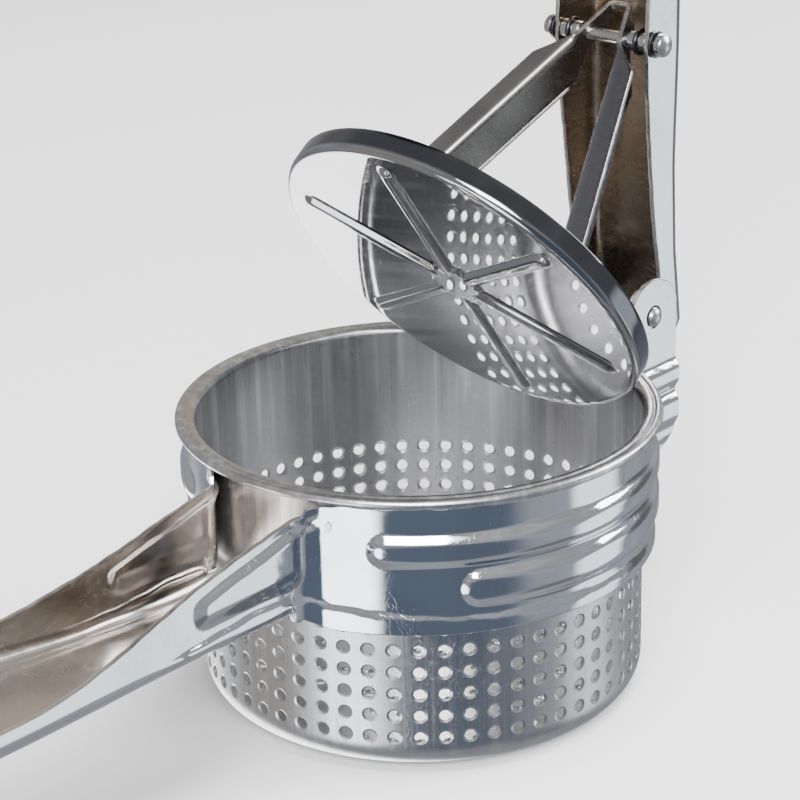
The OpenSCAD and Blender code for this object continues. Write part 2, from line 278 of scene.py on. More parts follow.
def steel(name, colour, shade, polish, haze, grain, grain_way, scratch, wave=0.02, extra=None):
    """A worn metal. Colour drifts to its shade in soft clouds; polish is the least roughness, and
    haze, grain and scratches add to it. The bump is in millimetres: a long soft wave left by the
    press, grain drawn out along grain_way, and thin scratches where a bent noise passes a half."""
    material = bpy.data.materials.new(name)
    material.use_nodes = True
    tree = material.node_tree
    shader = tree.nodes["Principled BSDF"]
    shader.inputs["Metallic"].default_value = 1.0
    place = Wire(tree).node("ShaderNodeTexCoord", {}, {}, "Object")
    cloud = place.noise(55, 4.0, 0.6)
    smear = place.stretched(1.0, 1.0, 2.4).noise(170, 3.0, 1.5)
    streak = place.stretched(*grain_way).noise(2200, 3.0)
    fine = place.stretched(1.0, 0.35, 0.6).noise(260, 1.0, 2.2)
    cross = place.stretched(0.4, 1.0, 0.5).noise(190, 1.0, 2.6)
    thin = 1 - (fine - 0.5).size().between(0.0, 0.006)
    thin_cross = 1 - (cross - 0.5).size().between(0.0, 0.005)
    marks = (thin + thin_cross * 0.8) * cloud.between(0.4, 0.62)
    tone = cloud.between(0.35, 0.7).mixed((*colour, 1), (*shade, 1))
    if extra:
        tone = extra(place, tone)
    tree.links.new(tone.socket, shader.inputs["Base Color"])
    rough = polish + smear.between(0.42, 0.75) * haze + (streak - 0.5).size() * grain * 2
    rough = rough + marks * scratch
    tree.links.new(rough.socket, shader.inputs["Roughness"])
    height = place.noise(42, 1.0) * wave * 4 + streak * grain * 0.012 - marks * scratch * 0.02
    bump = height.node(
        "ShaderNodeBump", {}, {"Strength": 1.0, "Distance": MM, "Height": height}
    )
    tree.links.new(bump.socket, shader.inputs["Normal"])
    return material


rows = FIRST_ROW + ROW_PITCH * np.arange(HOLE_ROWS)
corner_step = np.tan(np.pi / 12)
hole_angles = np.pi / HOLES_ROUND * (
    2 * (np.arange(HOLES_ROUND)[:, None] + 0.5) + np.array([-1, -corner_step, corner_step])
).reshape(-1)
holes_end = rows[-1] + ROW_PITCH / 2
rim_low = CUP_TOP - RIM_THICK
lip = RIM_THICK / 2
groove_way = np.linspace(-1, 1, 17)[1:-1, None]
dip = GROOVE_DEEP * np.cos(groove_way * np.pi / 2) ** 1.5
groove = np.hstack([GROOVE_R - GROOVE_HALF * groove_way, CUP_TOP - dip])
wall_low, wall_high = WALL_LEVELS
upper = np.concatenate([
    [[CUP_OUT, holes_end], [CUP_OUT, wall_low], [CUP_OUT, wall_high], [CUP_OUT, rim_low - BLEND_R]],
    bow(CUP_OUT + BLEND_R, rim_low - BLEND_R, BLEND_R, 180, 90, 8)[1:],
    bow(RIM_R - lip, rim_low + lip, lip, -90, 90, 18),
    groove,
    bow(CUP_IN + MOUTH_R, CUP_TOP - MOUTH_R, MOUTH_R, 90, 180, 8),
    [[CUP_IN, wall_high], [CUP_IN, wall_low], [CUP_IN, holes_end]],
])
floor_edge = CUP_OUT - CUP_CORNER
outer_corner = bow(floor_edge, CUP_CORNER, CUP_CORNER, 0, -90, 12)
inner_corner = bow(floor_edge, CUP_CORNER, CUP_CORNER - CUP_SHEET, 0, -90, 12)
cup_sheets = [punched_wall(rows), turned(upper, hole_angles)]
cup_sheets += [turned(outer_corner, hole_angles), turned(inner_corner, hole_angles)]
cup_sheets += punched_floor(floor_edge, hole_angles)


def drawn_streaks(place, tone):
    """Pale and dark streaks up the wall, which the drawing die leaves, strongest at the rim."""
    height = place.node("ShaderNodeSeparateXYZ", {}, {0: place}, 2)
    streak = place.stretched(1.0, 1.0, 0.035).noise(420, 2.0)
    near_rim = height.between(0.024, 0.055) * 0.5 + 0.25
    pale = (streak.between(0.5, 0.7) * near_rim).mixed(tone, (0.86, 0.86, 0.87, 1))
    return ((1 - streak.between(0.3, 0.48)) * near_rim).mixed(pale, (0.42, 0.42, 0.43, 1))


satin = steel("satin_cup", (0.58, 0.58, 0.59), (0.52, 0.52, 0.53), 0.27, 0.03, 0.2,
              (1.0, 1.0, 0.012), 0.2, 0.006, drawn_streaks)
fit("cup", mesh_of("cup", cup_sheets), "cup", ["basket"], [satin], crease=15)


# ---- Lower frame ----------------------------------------------------------------------------
# One blank of bright steel sheet, pressed into the lower handle, wrapped round the cup as a
# collar with two beads, and ended in two ears that carry the hinge pin.

SHEET = 1.0
COLLAR_MID = 44.8
BEND_R = 7.0
EAR_MID = 12.5
EAR_END = 66.1
EAR_R = 8.0
NECK_MID = 10.7
GRIP_MID = 15.0
HANDLE_END = 223.5
TIP_R = 13.5
FOLD_R = 2.6
FOLD_GRIP = 4.0
COLLAR_LOW = 29.8
COLLAR_TOP = 54.5
TONGUE_R = 46.6
HINGE_HOLE = 2.5
FLOOR_Z = 32.5
FLOOR_RISE = 2.6
WALL_TOP = 41
WALL_DROP = 12
BEAD_OUT = 1.1
UPPER_BEAD_Z, UPPER_BEAD_HALF, UPPER_BEAD_END = 46.25, 3.5, 151
LOWER_BEAD_Z, LOWER_BEAD_HALF, LOWER_BEAD_END = 38.5, 4.1, 130
LIP_OUT = 0.5
PANEL_OUT = 0.95
PANEL_TIP = -72.8
CREASE_IN = 0.6
joints = {joint["name"]: joint for joint in frame["joints"]}
hinge_x, _, hinge_z = (value / MM for value in joints["lever_hinge"]["pos_m"])


def ease(value, low, high):
    """Goes smoothly from 0 at low to 1 at high: u squared times three less twice u."""
    u = np.clip((value - low) / (high - low), 0, 1)
    return u * u * (3 - 2 * u)


def bend_start(y):
    """How far out the round of a bend begins, where a circle of the bend's radius touches both
    the collar and a straight wall at this half width."""
    return np.sqrt((COLLAR_MID + BEND_R) ** 2 - (y + BEND_R) ** 2)


def mirrored(sheet):
    """The same sheet on the other side of the middle plane, with its faces turned over."""
    points, faces = sheet
    return points * np.array([1, -1, 1]), np.asarray(faces)[:, ::-1]


def thickened(mesh, thickness, edge, drills=(), even=True):
    """Gives a sheet its thickness and rounds its cut edges, then drills it along the Y axis. The
    far side and the cut edges take the materials that follow the first."""
    piece = bpy.data.objects.new(mesh.name, mesh)
    bpy.context.scene.collection.objects.link(piece)
    for _ in range(3):
        mesh.materials.append(None)
    skin = piece.modifiers.new("thickness", "SOLIDIFY")
    skin.thickness = thickness * MM
    skin.offset = 0
    skin.use_even_offset = even
    skin.material_offset = 1
    skin.material_offset_rim = 2
    soften = piece.modifiers.new("edges", "BEVEL")
    soften.width = edge * MM
    soften.segments = 2
    soften.limit_method = "ANGLE"
    soften.angle_limit = np.radians(50)
    soften.use_clamp_overlap = False
    cutters = []
    for x, z, radius in drills:
        rod = np.array([[0, -40], [radius, -40], [radius, 40], [0, 40]], float)
        points, faces = turned(rod, np.linspace(0, 2 * np.pi, 48, endpoint=False))
        points = np.stack([x + points[..., 0], points[..., 2], z + points[..., 1]], axis=-1)
        cutter = bpy.data.objects.new("drill", mesh_of("drill", [(points, faces)]))
        bpy.context.scene.collection.objects.link(cutter)
        cut = piece.modifiers.new("drill", "BOOLEAN")
        cut.operation = "DIFFERENCE"
        cut.solver = "EXACT"
        cut.object = cutter
        cutters.append(cutter)
    bpy.context.view_layer.update()
    done = bpy.data.meshes.new_from_object(piece.evaluated_get(bpy.context.evaluated_depsgraph_get()))
    for spare in [piece] + cutters:
        bpy.data.objects.remove(spare)
    return done


# The outline of half the frame seen from above, from the ear's end round to the handle's tip.
ear_bend = bend_start(EAR_MID)
ear_angle = np.degrees(np.arctan2(EAR_MID + BEND_R, ear_bend))
neck_bend = bend_start(NECK_MID)
neck_angle = np.degrees(np.arctan2(NECK_MID + BEND_R, neck_bend))
ear_line = np.concatenate([
    hinge_x + EAR_R * np.cos(np.radians(np.linspace(13, 168, 28))),
    [50.3, 49.5, 48.7],
])
grip_near = np.linspace(neck_bend, 96, 38)
grip_far = np.linspace(96, HANDLE_END - TIP_R, 24)[1:]
grip_line = np.concatenate([grip_near, grip_far])
grip_half = NECK_MID + (GRIP_MID - NECK_MID) * ease(grip_line, 66, 114)
tip_turn = np.radians(np.linspace(0, 90, 15))[1:]
outline = np.concatenate([
    np.stack([ear_line, np.full(len(ear_line), EAR_MID)], axis=-1),
    bow(ear_bend, EAR_MID + BEND_R, BEND_R, 270, 180 + ear_angle, 14),
    bow(0, 0, COLLAR_MID, ear_angle, 180 - neck_angle, 128)[1:-1],
    bow(-neck_bend, NECK_MID + BEND_R, BEND_R, -neck_angle, -90, 14)[:-1],
    np.stack([-grip_line, grip_half], axis=-1),
    np.stack([TIP_R - HANDLE_END - TIP_R * np.sin(tip_turn), GRIP_MID * np.cos(tip_turn)], axis=-1),
])
out_x, out_y = outline.T
on_handle = np.arange(len(outline)) >= len(outline) - len(grip_line) - len(tip_turn)
run = np.concatenate([[0], np.cumsum(np.linalg.norm(np.diff(outline, axis=0), axis=1))])
way = np.gradient(outline, run, axis=0)
way /= np.linalg.norm(way, axis=1, keepdims=True)
outward = np.stack([way[:, 1], -way[:, 0]], axis=-1)


def handle_floor(x):
    """The middle of the handle's floor sheet: level at the neck, then 2.6 mm higher."""
    return FLOOR_Z + FLOOR_RISE * ease(-x, 46, 116)


def handle_rim(x):
    """The top of the handle's walls, which come down by 12 mm behind the collar."""
    return WALL_TOP + WALL_DROP * (1 - ease(-x, 29, 115))


ear_top = hinge_z + np.sqrt(np.clip(EAR_R ** 2 - (out_x - hinge_x) ** 2, 0, None))
rim = np.interp(out_x, [-47, -45, -41, 48, 50.3, 50.4], [53.0, 53.2, COLLAR_TOP, COLLAR_TOP, 60.6, 0])
rim = np.where(out_x > 50.3, ear_top, rim)
rim = np.where(out_x < -45, handle_rim(out_x), rim)
foot = np.interp(out_x, [-46, -42, 48, 60, 65.4, EAR_END], [32, COLLAR_LOW, COLLAR_LOW, 30.4, 32.5, 34.5])
fold_r = FOLD_R + (FOLD_GRIP - FOLD_R) * ease(-out_x, 74, 112)
foot = np.where(on_handle, handle_floor(out_x) + fold_r, foot)
rim = rim + 0.12 * np.sin(run * 0.9) * np.sin(run * 0.37)

wall_way = np.linspace(0, 1, 44)
inner_top, inner_foot = rim - 0.3, np.where(on_handle, foot, foot + 0.3)
wall_z = inner_top[:, None] + (inner_foot - inner_top)[:, None] * wall_way
wall_z = np.column_stack([rim, wall_z, np.where(on_handle, foot - 1e-4, foot)])
wall_run = np.broadcast_to(run[:, None], wall_z.shape)
wall_x = np.broadcast_to(out_x[:, None], wall_z.shape)


def capsule(along, up, start, end, level, half):
    """How far inside a long rounded panel a place is: its half height less the distance to the
    panel's middle line."""
    past = np.maximum(np.maximum(start - along, along - end), 0)
    return half - np.hypot(past, up - level)


collar_start = run[len(ear_line) + 14]


def run_at(angle):
    """Distance along the outline of a place on the collar, from its angle in degrees."""
    return collar_start + COLLAR_MID * np.radians(angle - ear_angle)


bead_start = -10.0
upper_end = run_at(UPPER_BEAD_END) - 3.2
lower_end = run_at(LOWER_BEAD_END) - 3.9
upper_bead = capsule(wall_run, wall_z, bead_start, upper_end, UPPER_BEAD_Z, UPPER_BEAD_HALF)
lower_bead = capsule(wall_run, wall_z, bead_start, lower_end, LOWER_BEAD_Z, LOWER_BEAD_HALF)
bulge = BEAD_OUT * ease(upper_bead, 0, 2.4)
bulge += BEAD_OUT * ease(lower_bead, 0, 2.6)
neck = run[np.argmax(on_handle)]
lip_line = np.interp(
    run, [0, run_at(96), run_at(131), run_at(160), neck, neck + 8, neck + 16, neck + 26],
    [32.2, 32.4, 32.9, 34.5, 36.8, 37.6, 37.0, 36.6],
)[:, None]
lip_line = lip_line + 0.12 * np.sin(wall_run * 0.83) + 0.08 * np.sin(wall_run * 2.1)
under_lip = 1 - ease(wall_z, lip_line - 0.9, lip_line + 0.5)
bulge += LIP_OUT * under_lip * (1 - ease(wall_run, neck + 24, neck + 38))
panel_top = np.interp(-wall_x, [46, 49.2, 55.7, 64.5, 69.5], [50.2, 49.7, 48.1, 46.4, 45.1])
panel_end = PANEL_TIP + 0.1 * (wall_z - 42) ** 2
panel = ease(panel_top - wall_z, -0.4, 1.5) * ease(wall_z, 38.2, 42.6)
panel = panel * ease(wall_x, panel_end, panel_end + 2.4)
bulge += PANEL_OUT * panel * ease(-wall_x, 44.5, 48.5)
crease = np.exp(-((wall_run - neck + 5.0) / 2.4) ** 2 - ((wall_z - 50.4) / 1.6) ** 2)
bulge -= CREASE_IN * crease * (1 + 0.4 * np.sin(wall_run * 2.0 + wall_z * 1.3))
wall = np.stack([
    out_x[:, None] + outward[:, :1] * bulge,
    out_y[:, None] + outward[:, 1:] * bulge,
    wall_z,
], axis=-1)

# The fold and the floor of the handle, from the bottom of the wall in to the middle line. Its
# first stations are the tongue, which ends in a hollow curve that clears the cup.
fold_turn = np.radians(np.linspace(0, 90, 8))[1:]
floor_way = np.linspace(0, 1, 19)[1:]
keep = np.flatnonzero(on_handle)
kx, ky = out_x[keep, None], out_y[keep, None]
nx, ny = outward[keep, :1], outward[keep, 1:]
skirt_out = bulge[keep, -1:]
low = handle_floor(kx)
fold_kept = fold_r[keep, None]
inset = fold_kept * (1 - np.cos(fold_turn)) - skirt_out * (1 - np.sin(fold_turn))
fold = np.stack([kx - nx * inset, ky - ny * inset, low + fold_kept * (1 - np.sin(fold_turn))], axis=-1)
middle_x = np.maximum(kx, TIP_R - HANDLE_END)
edge_x, edge_y = fold[:, -1:, 0], fold[:, -1:, 1]
flat = np.stack([
    edge_x + (middle_x - edge_x) * floor_way,
    edge_y * (1 - floor_way),
    low + 0 * floor_way,
], axis=-1)
tray = np.concatenate([wall[keep, -1:], fold, flat], axis=1)
tongue_way = np.linspace(0, 1, 8)[:-1, None]
first = tray[0]
tongue_x = -np.sqrt(TONGUE_R ** 2 - first[:, 1] ** 2)
tongue = np.stack([
    tongue_x + (first[:, 0] - tongue_x) * tongue_way,
    first[:, 1] + 0 * tongue_way,
    first[:, 2] + 0 * tongue_way,
], axis=-1)
tray = np.concatenate([tongue, tray], axis=0)
frame_sheets = [(wall, quads(*wall.shape[:2])), (tray, quads(*tray.shape[:2]))]
frame_sheets += [mirrored(sheet) for sheet in frame_sheets]
hinge_hole = (hinge_x, hinge_z, HINGE_HOLE)
frame_mesh = thickened(mesh_of("frame", frame_sheets, closed=False), SHEET, 0.14, [hinge_hole])

bright = steel("bright_outside", (0.74, 0.76, 0.79), (0.68, 0.695, 0.725), 0.06, 0.05, 0.03,
               (0.03, 1.0, 1.0), 0.15, 0.012)


def painted_warm_reflection(place, tone):
    """Paints a warm reflection into the inside of the sheet: it browns it in soft patches."""
    patch = place.noise(38, 2.0, 0.8).between(0.3, 0.62)
    return (patch * 0.5).mixed(tone, (0.56, 0.47, 0.39, 1))


# The inside faces take a warmer tone than the outside, which is a painted warm reflection, and a rougher
# finish.
painted_warm_inside = steel("plain_inside_painted_warm", (0.72, 0.69, 0.66), (0.62, 0.59, 0.56), 0.17, 0.07, 0.05,
                     (0.05, 1.0, 1.0), 0.12, 0.006, painted_warm_reflection)
cut_edge = steel("sheared_edge", (0.8, 0.8, 0.79), (0.55, 0.54, 0.53), 0.25, 0.15, 0.3,
                 (1.0, 1.0, 0.1), 0.1)
sheet_finish = [bright, painted_warm_inside, cut_edge]
fit("frame_sheet", frame_mesh, "frame", ["lower_frame"], sheet_finish)


# ---- Hinge pin and washers ------------------------------------------------------------------
# A steel rivet through both ears, its ends spread into low domes, with a thin washer between
# each ear and the lever. The rivet is held fast in the ears and the lever turns on it.

PIN_R = 2.1
PIN_DOME = 0.8
WASHER_R = 4.6
WASHER_IN, WASHER_OUT = 11.35, 11.85


def cross_turned(profile, x, z, steps=48):
    """A skin of revolution about a line along Y: each radius and place along the line is carried
    round the line's centre."""
    points, faces = turned(np.asarray(profile, float), np.linspace(0, 2 * np.pi, steps, endpoint=False))
    return np.stack([x + points[..., 0], points[..., 2], z + points[..., 1]], axis=-1), faces


def rod_profile(radius, half, dome, soft=0.25):
    """Half width and place along a pin from one domed end to the other: the dome is an arc, and
    a small round joins it to the shank."""
    up = np.linspace(0, 1, 9)
    end = np.stack([(radius - soft * up ** 6) * up, half + dome * (1 - up ** 2.2)], axis=-1)
    shank = np.array([[radius, half - soft], [radius, half / 2]])
    top = np.concatenate([end, shank])
    return np.concatenate([top * [1, 1], (top * [1, -1])[::-1]])


pin_steel = steel("pin_steel", (0.62, 0.61, 0.6), (0.5, 0.49, 0.48), 0.24, 0.1, 0.1,
                  (1.0, 0.1, 1.0), 0.12, 0.004)
pin_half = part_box("hinge_pin")[1].y / MM - PIN_DOME
hinge_skin = cross_turned(rod_profile(PIN_R, pin_half, PIN_DOME), hinge_x, hinge_z)
fit("hinge_rivet", mesh_of("hinge_rivet", [hinge_skin]), "frame", ["hinge_pin"], [pin_steel])


def washer(inner, outer, start, end, x, z, soft=0.08):
    """A flat ring on a line along Y: a small rectangle with its corners cut off, carried round."""
    a, b = min(start, end), max(start, end)
    profile = [
        [inner, a + soft], [inner, b - soft], [inner + soft, b], [outer - soft, b],
        [outer, b - soft], [outer, a + soft], [outer - soft, a], [inner + soft, a], [inner, a + soft],
    ]
    return cross_turned(profile, x, z)


washer_skins = [
    washer(PIN_R + 0.05, WASHER_R, side * WASHER_IN, side * WASHER_OUT, hinge_x, hinge_z)
    for side in (1, -1)
]
fit("hinge_rings", mesh_of("hinge_rings", washer_skins), "frame",
    ["hinge_washers"], [pin_steel])


# ---- Upper lever ----------------------------------------------------------------------------
# The same bright sheet folded to a channel that is open towards the lower handle. It is closed
# round its top end, and its side walls run down to lobes on the hinge pin.

LEVER_LOW = 54.6
LEVER_TIP = 13.5
LEVER_NARROW = 10.7
LOBE_R = 6.5
CROSS_HOLE = 1.42
lever_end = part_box("upper_lever")[1].z / MM - SHEET / 2
pin_x, _, pin_z = (value / MM for value in joints["plunger_swing"]["pos_m"])

rise = np.concatenate([
    np.linspace(LEVER_LOW, 72, 22), np.linspace(72, 130, 46)[1:],
    np.linspace(130, lever_end - LEVER_TIP, 34)[1:],
])
lever_half = LEVER_NARROW + 0.5 * ease(rise, 88, 120) + 3 * ease(rise, 130, 190)
top_half = lever_half[-1]
lever_out = np.concatenate([
    np.stack([rise, lever_half], axis=-1),
    np.stack([lever_end - LEVER_TIP + LEVER_TIP * np.sin(tip_turn), top_half * np.cos(tip_turn)], axis=-1),
])
lz, ly = lever_out.T
lever_run = np.concatenate([[0], np.cumsum(np.linalg.norm(np.diff(lever_out, axis=0), axis=1))])
lever_path = np.gradient(lever_out, lever_run, axis=0)
lever_path /= np.linalg.norm(lever_path, axis=1, keepdims=True)
web = np.interp(lz, [LEVER_LOW, 56.2, 72, 90, 280], [70.1, 71.5, 69.5, 68.7, 68.7])
free = np.interp(lz, [66, 69, 80, 90, 100, 110, 117, 127, 150, 190, 280],
                 [63, 62.5, 60.6, 59.4, 58.2, 57.1, 56.7, 57.2, 58.6, 59, 59])
lobe = hinge_x - np.sqrt(np.clip(LOBE_R ** 2 - (lz - hinge_z) ** 2, 0, None))
free = np.where(lz < 67.0, lobe, free)
free = free + 0.1 * np.sin(lever_run * 1.1) * np.sin(lever_run * 0.31 + 1) * (lz > 69)
side_way = np.linspace(0, 1, 22)
side_x = free[:, None] + (web - FOLD_R - free)[:, None] * side_way
side = np.stack([side_x, ly[:, None] + 0 * side_way, lz[:, None] + 0 * side_way], axis=-1)
in_y, in_z = -lever_path[:, :1], lever_path[:, 1:]
fold_in = FOLD_R * (1 - np.cos(fold_turn))
bent = np.stack([
    web[:, None] - FOLD_R * (1 - np.sin(fold_turn)),
    ly[:, None] + in_y * fold_in,
    lz[:, None] + in_z * fold_in,
], axis=-1)
centre_z = np.minimum(lz, lever_end - LEVER_TIP)[:, None]
back_way = np.linspace(0, 1, 11)[1:]
back = np.stack([
    web[:, None] + 0 * back_way,
    bent[:, -1:, 1] * (1 - back_way),
    bent[:, -1:, 2] + (centre_z - bent[:, -1:, 2]) * back_way,
], axis=-1)
channel = np.concatenate([side, bent, back], axis=1)
half_lever = (channel, quads(*channel.shape[:2])[:, ::-1])
lever_holes = [(hinge_x, hinge_z, PIN_R + 0.06), (pin_x, pin_z, CROSS_HOLE)]
lever_mesh = thickened(
    mesh_of("lever", [half_lever, mirrored(half_lever)], closed=False), SHEET, 0.14, lever_holes
)


def brown_reflection_and_shade(place, tone):
    """Paints a brown reflection into the channel's inside in soft patches, and paints shade on it low down
    near the hinge.
    """
    height = place.node("ShaderNodeSeparateXYZ", {}, {0: place}, 2)
    patch = place.stretched(1.0, 1.0, 0.4).noise(26, 1.0, 0.4).between(0.25, 0.7)
    brown = (patch * 0.75).mixed(tone, (0.47, 0.36, 0.26, 1))
    return ((1 - height.between(0.07, 0.1)) * 0.75).mixed(brown, (0.12, 0.11, 0.1, 1))


# The channel's inside is painted darker and browner than the bright outside: painted shade and a painted
# brown reflection.
lever_inside_shade_and_reflection = steel("lever_inside_shade_and_reflection", (0.36, 0.33, 0.29), (0.29, 0.26, 0.22), 0.22, 0.1, 0.06,
                     (1.0, 1.0, 0.05), 0.06, 0.005, brown_reflection_and_shade)
fit("lever_sheet", lever_mesh, "lever", ["upper_lever"],
    [bright, lever_inside_shade_and_reflection, cut_edge])


# ---- Cross pin, bushes and clips ------------------------------------------------------------
# A thin pin with two domed heads goes through the lever and the yoke. Short bushes keep the
# yoke in the middle, and dark spring clips sit between the bushes and under the heads.

CROSS_R = 1.3
HEAD_R = 2.3
HEAD_LEN = 1.9
HEAD_DOME = 2.9
HEAD_EDGE = 0.75
CLIP = 0.6
CLIP_R = 2.7
BUSH_R = 2.0
head_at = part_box("cross_pin")[1].y / MM - HEAD_LEN
wall_out = head_at - 1.5
leg_face = 6.1
bush_len = (wall_out - SHEET - leg_face - CLIP - 0.4) / 2
shank = np.concatenate([
    bow(0, head_at + HEAD_LEN - HEAD_DOME, HEAD_DOME, 90, 58, 8),
    bow(HEAD_R - HEAD_EDGE, head_at + HEAD_EDGE, HEAD_EDGE, 50, 0, 6),
    [[HEAD_R, head_at - 0.1], [HEAD_R - 0.1, head_at - 0.2], [CROSS_R, head_at - 0.2]],
])
cross_profile = np.concatenate([shank, (shank * [1, -1])[::-1]])
cross_skin = cross_turned(cross_profile, pin_x, pin_z)
fit("cross_rod", mesh_of("cross_rod", [cross_skin]), "lever", ["cross_pin"], [pin_steel])

clip_steel = steel("clip_steel", (0.17, 0.17, 0.18), (0.09, 0.09, 0.1), 0.28, 0.12, 0.1,
                   (1.0, 0.1, 1.0), 0.3, 0.01)
clip_skins, bush_skins = [], []
for side_sign in (1, -1):
    for start in (wall_out + 0.15, leg_face + bush_len + 0.2):
        clip_skins.append(washer(CROSS_R + 0.02, CLIP_R, side_sign * start, side_sign * (start + CLIP),
                                 pin_x, pin_z))
    for start in (leg_face + 0.1, wall_out - SHEET - 0.1 - bush_len):
        bush_skins.append(washer(CROSS_R + 0.02, BUSH_R, side_sign * start, side_sign * (start + bush_len),
                                 pin_x, pin_z, 0.2))
fit("spring_clips", mesh_of("spring_clips", clip_skins), "lever", ["pin_clips"], [clip_steel])
fit("short_bushes", mesh_of("short_bushes", bush_skins), "lever", ["pin_bushes"], [pin_steel])


# ---- Yoke -----------------------------------------------------------------------------------
# Two legs of steel strap, each with a flange folded outwards at the handle side and cut off on
# the slant under the cross pin. Their feet are spot-welded to the pressing disc.

TILT = np.radians(53.5)
REACH = 61.0
OFFSET = 3.8
DISC_SHEET = 1.0
STRAP = 1.0
STRAP_LOW = -6.0
STRAP_HIGH = 3.8
FLANGE = 4.3
FOOT_Y = 25.0
FOOT_LONG = 6.9
KNEE_R = 1.8
CUT_START, CUT_END = -10.5, -3.0
BEND_IN = 0.9
FOOT_WIDER = 0.4
ROLL = 0.5
LEG_Y = 5.0
LEG_TIP = 8.0
TOP_BEND = 1.2
lean = np.arctan2(FOOT_Y - LEG_Y, REACH - DISC_SHEET)
leg_len = (REACH - DISC_SHEET) / np.cos(lean)


def hung(points):
    """Puts the plunger's own points, which start from the disc's face, under the cross pin: the
    whole plunger is turned back about the pin by its tilt."""
    x = points[..., 0] + OFFSET
    z = points[..., 2] - REACH
    return np.stack([
        pin_x + x * np.cos(TILT) + z * np.sin(TILT),
        points[..., 1],
        pin_z - x * np.sin(TILT) + z * np.cos(TILT),
    ], axis=-1)


half_turn = (np.pi / 2 - lean) / 2
mid_z = DISC_SHEET + STRAP / 2
knee_t = (STRAP / 2) * (1 + np.sin(lean)) / np.cos(lean)
knee_y = FOOT_Y - (STRAP / 2) * np.cos(lean) - knee_t * np.sin(lean)
cut = KNEE_R * np.tan(half_turn)
foot_run = np.linspace(FOOT_Y + FOOT_LONG, knee_y + cut, 9)
knee = bow(knee_y + cut, mid_z + KNEE_R, KNEE_R, -90, -180 + np.degrees(lean), 8)[1:]
leg_run = np.concatenate([
    np.linspace(knee_t + cut, leg_len - 12, 34)[1:],
    np.linspace(leg_len - 12, leg_len + LEG_TIP - TOP_BEND - 0.4, 42)[1:],
])
leg_mid = np.stack([
    FOOT_Y - (STRAP / 2) * np.cos(lean) - leg_run * np.sin(lean),
    DISC_SHEET - (STRAP / 2) * np.sin(lean) + leg_run * np.cos(lean),
], axis=-1)
hub = leg_mid[-1] - TOP_BEND * np.array([np.cos(lean), np.sin(lean)])
over = bow(*hub, TOP_BEND, np.degrees(lean), 90, 6)[1:]
bridge = np.stack([hub[0] * np.array([0.5, 0.0]), np.full(2, hub[1] + TOP_BEND)], axis=-1)
spine = np.concatenate([
    np.stack([foot_run, np.full(len(foot_run), mid_z)], axis=-1), knee, leg_mid, over, bridge,
])
above = np.concatenate([
    np.full(len(foot_run) + len(knee), -60.0), leg_run - leg_len, np.full(len(over) + 2, LEG_TIP),
])
spine_run = np.concatenate([[0], np.cumsum(np.linalg.norm(np.diff(spine, axis=0), axis=1))])
spine_way = np.gradient(spine, spine_run, axis=0)
spine_way /= np.linalg.norm(spine_way, axis=1, keepdims=True)
to_middle = np.stack([-spine_way[:, 1], spine_way[:, 0]], axis=-1)
high = np.interp(above, [-7.75, -1.5, 3, 6.2, 8], [STRAP_HIGH, -1.2, -1.2, -3.8, -4.5])
foot_len = spine_run[len(foot_run) - 1]
corner_cut = np.clip(1.6 - spine_run, 0, 1.6)
widen = FOOT_WIDER * (1 - ease(spine_run, foot_len - 1, foot_len + 3)) - corner_cut ** 2 / 1.6
flange = ease(spine_run, foot_len + 3.0, foot_len + 7.0) * (above < CUT_END)
left_of_cut = np.clip((CUT_END - above) / (CUT_END - CUT_START), 0, 1)
flange_deep = flange * (STRAP / 2 + FLANGE * left_of_cut)
bend_in = np.minimum(BEND_IN, flange_deep * 0.8)
roll = ROLL * ease(spine_run, foot_len + 3.0, foot_len + 7.0) * (1 - ease(above, -9.5, -7.8))
fold_a = np.radians(np.linspace(90, 0, 7))[:-1]
drop_way = np.linspace(1, 0, 5)[:-1]
left = STRAP_LOW + STRAP / 2 * np.clip(flange_deep, 0, 1) - widen
right = high + widen
face_way = np.linspace(0, 1, 15)
face_x = (left + bend_in)[:, None] + (right - left - bend_in)[:, None] * face_way
face_in = 1.6 * np.clip((face_x - (right - roll)[:, None]) / ROLL, 0, 1) ** 2 * (roll[:, None] / 1.5)
turn_x = (left + bend_in)[:, None] - bend_in[:, None] * np.sin(fold_a)
turn_in = bend_in[:, None] * (1 - np.cos(fold_a))
drop_in = bend_in[:, None] + (flange_deep - bend_in)[:, None] * drop_way
strap_x = np.concatenate([left[:, None] + 0 * drop_way, turn_x, face_x], axis=1)
strap_in = np.concatenate([-drop_in, -turn_in, face_in], axis=1)
strap = np.stack([
    strap_x,
    spine[:, :1] + to_middle[:, :1] * strap_in,
    spine[:, 1:] + to_middle[:, 1:] * strap_in,
], axis=-1)
strap_quads = quads(*strap.shape[:2])
leg = (hung(strap), strap_quads)
pin_hole = [(pin_x, pin_z, CROSS_R + 0.06)]
yoke_mesh = thickened(
    mesh_of("yoke", [leg, mirrored(leg)], closed=False), STRAP, 0.09, pin_hole, even=False
)


def leg_tone(place, tone):
    """Gives the near leg a darker tone than the far one, for the darker things that it mirrors."""
    across = place.node("ShaderNodeSeparateXYZ", {}, {0: place}, 1)
    return across.between(-0.004, 0.004).mixed((0.25, 0.25, 0.26, 1), tone)


strap_out = steel("strap_outside", (0.4, 0.4, 0.405), (0.33, 0.33, 0.335), 0.24, 0.06, 0.1,
                  (0.08, 1.0, 0.08), 0.06, 0.004, leg_tone)
strap_in_steel = steel("strap_inside", (0.4, 0.39, 0.37), (0.3, 0.29, 0.28), 0.24, 0.08, 0.1,
                       (0.08, 1.0, 0.08), 0.06, 0.004, leg_tone)
fit("yoke_straps", yoke_mesh, "plunger", ["yoke"], [strap_in_steel, strap_out, cut_edge])


# ---- Pressing disc --------------------------------------------------------------------------
# A bright disc of steel sheet with a turned-up edge. Six ribs pressed into it run out from a
# flat six-sided pad in the middle, to break up the food and to stiffen the face.

